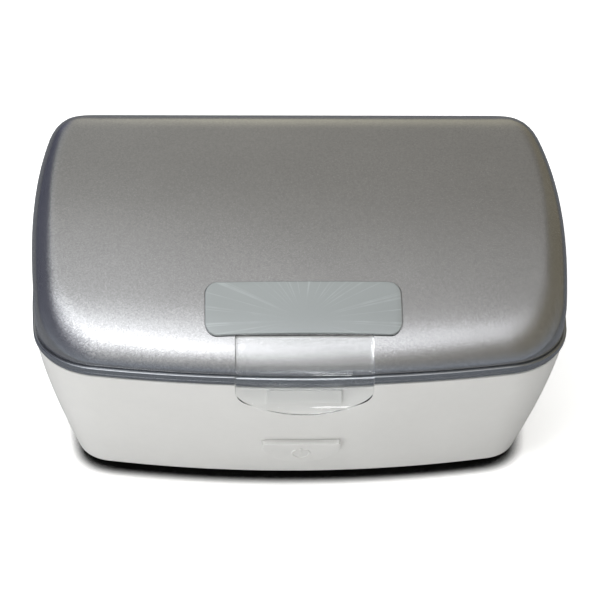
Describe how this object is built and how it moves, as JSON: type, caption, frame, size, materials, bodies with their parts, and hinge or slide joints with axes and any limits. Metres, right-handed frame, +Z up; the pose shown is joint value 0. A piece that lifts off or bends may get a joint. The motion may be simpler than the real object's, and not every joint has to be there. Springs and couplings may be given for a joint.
{
  "type": "hearing aid drying box",
  "caption": "Electric drying box with flared base, hinged domed lid, clear latch tab and push button, over drying wells, fan, heater and lamp.",
  "frame": {"origin": "centre of the box's footprint, on the surface that the feet stand on", "axes": "+Z up, +Y to the hinge at the rear, the latch and the button face -Y, +X to the right"},
  "size_m": [0.145, 0.1166, 0.0688],
  "materials": {
    "silver_shell": "metallic silver paint under clear gloss",
    "rim_grey": "metallic grey, glossy, with a fine groove",
    "white_shell": "white moulded plastic, satin",
    "inner_white": "white moulded plastic, satin",
    "clear_plastic": "clear glossy polycarbonate",
    "label_print": "printed grey plate with faint rays under a clear face",
    "foot_rubber": "black rubber",
    "seal": "grey silicone",
    "steel": "plain steel",
    "reflector": "bright aluminium sheet",
    "lamp_glass": "clear lamp glass",
    "board_green": "green solder mask",
    "black_plastic": "black moulded plastic",
    "desiccant_grey": "grey moulded case",
    "membrane": "white breathable film",
    "winding": "copper winding under varnish"
  },
  "bodies": {
    "base": {"base_shell": "white_shell", "bottom_cover": "white_shell", "foot_1": "foot_rubber", "foot_2": "foot_rubber", "foot_3": "foot_rubber", "foot_4": "foot_rubber", "bottom_screw_1": "steel", "bottom_screw_2": "steel", "bottom_screw_3": "steel", "bottom_screw_4": "steel", "hinge_pin_left": "steel", "hinge_pin_right": "steel", "drying_tray": "inner_white", "well_cup_left": "inner_white", "well_cup_right": "inner_white", "desiccant_case": "desiccant_grey", "desiccant_membrane": "membrane", "lamp_tube": "lamp_glass", "lamp_cap_left": "foot_rubber", "lamp_cap_right": "foot_rubber", "lamp_reflector": "reflector", "lamp_guard": "inner_white", "fan_frame": "black_plastic", "heater_duct": "inner_white", "heater_block": "reflector", "main_board": "board_green", "tact_switch": "black_plastic", "dc_socket": "black_plastic", "lamp_inverter": "winding", "capacitor": "black_plastic", "control_chip": "black_plastic", "reed_switch": "lamp_glass"},
    "lid": {"lid_dome": "silver_shell", "lid_rim": "rim_grey", "lid_liner": "inner_white", "lid_gasket": "seal", "lid_magnet": "steel", "label_plate": "label_print", "latch_anchor": "clear_plastic"},
    "latch": {"latch": "clear_plastic"},
    "button": {"power_button": "white_shell"},
    "fan": {"fan_rotor": "black_plastic"}
  },
  "joints": [
    {"name": "lid_hinge", "type": "hinge", "parent": "base", "child": "lid", "pos_m": [0, 0.0552, 0.0436], "axis": [-1, 0, 0], "range_deg": [0, 100]},
    {"name": "latch_flex", "type": "hinge", "parent": "lid", "child": "latch", "pos_m": [0, -0.0502, 0.0524], "axis": [-1, 0, 0], "range_deg": [0, 12], "stiffness_Nm_per_rad": 0.5},
    {"name": "button_press", "type": "slide", "parent": "base", "child": "button", "axis": [0, 1, 0], "range_m": [0, 0.001], "stiffness_N_per_m": 1000},
    {"name": "fan_spin", "type": "hinge", "parent": "base", "child": "fan", "pos_m": [0.028, 0.031, 0.034], "axis": [0, 0, 1], "continuous": true}
  ]
}
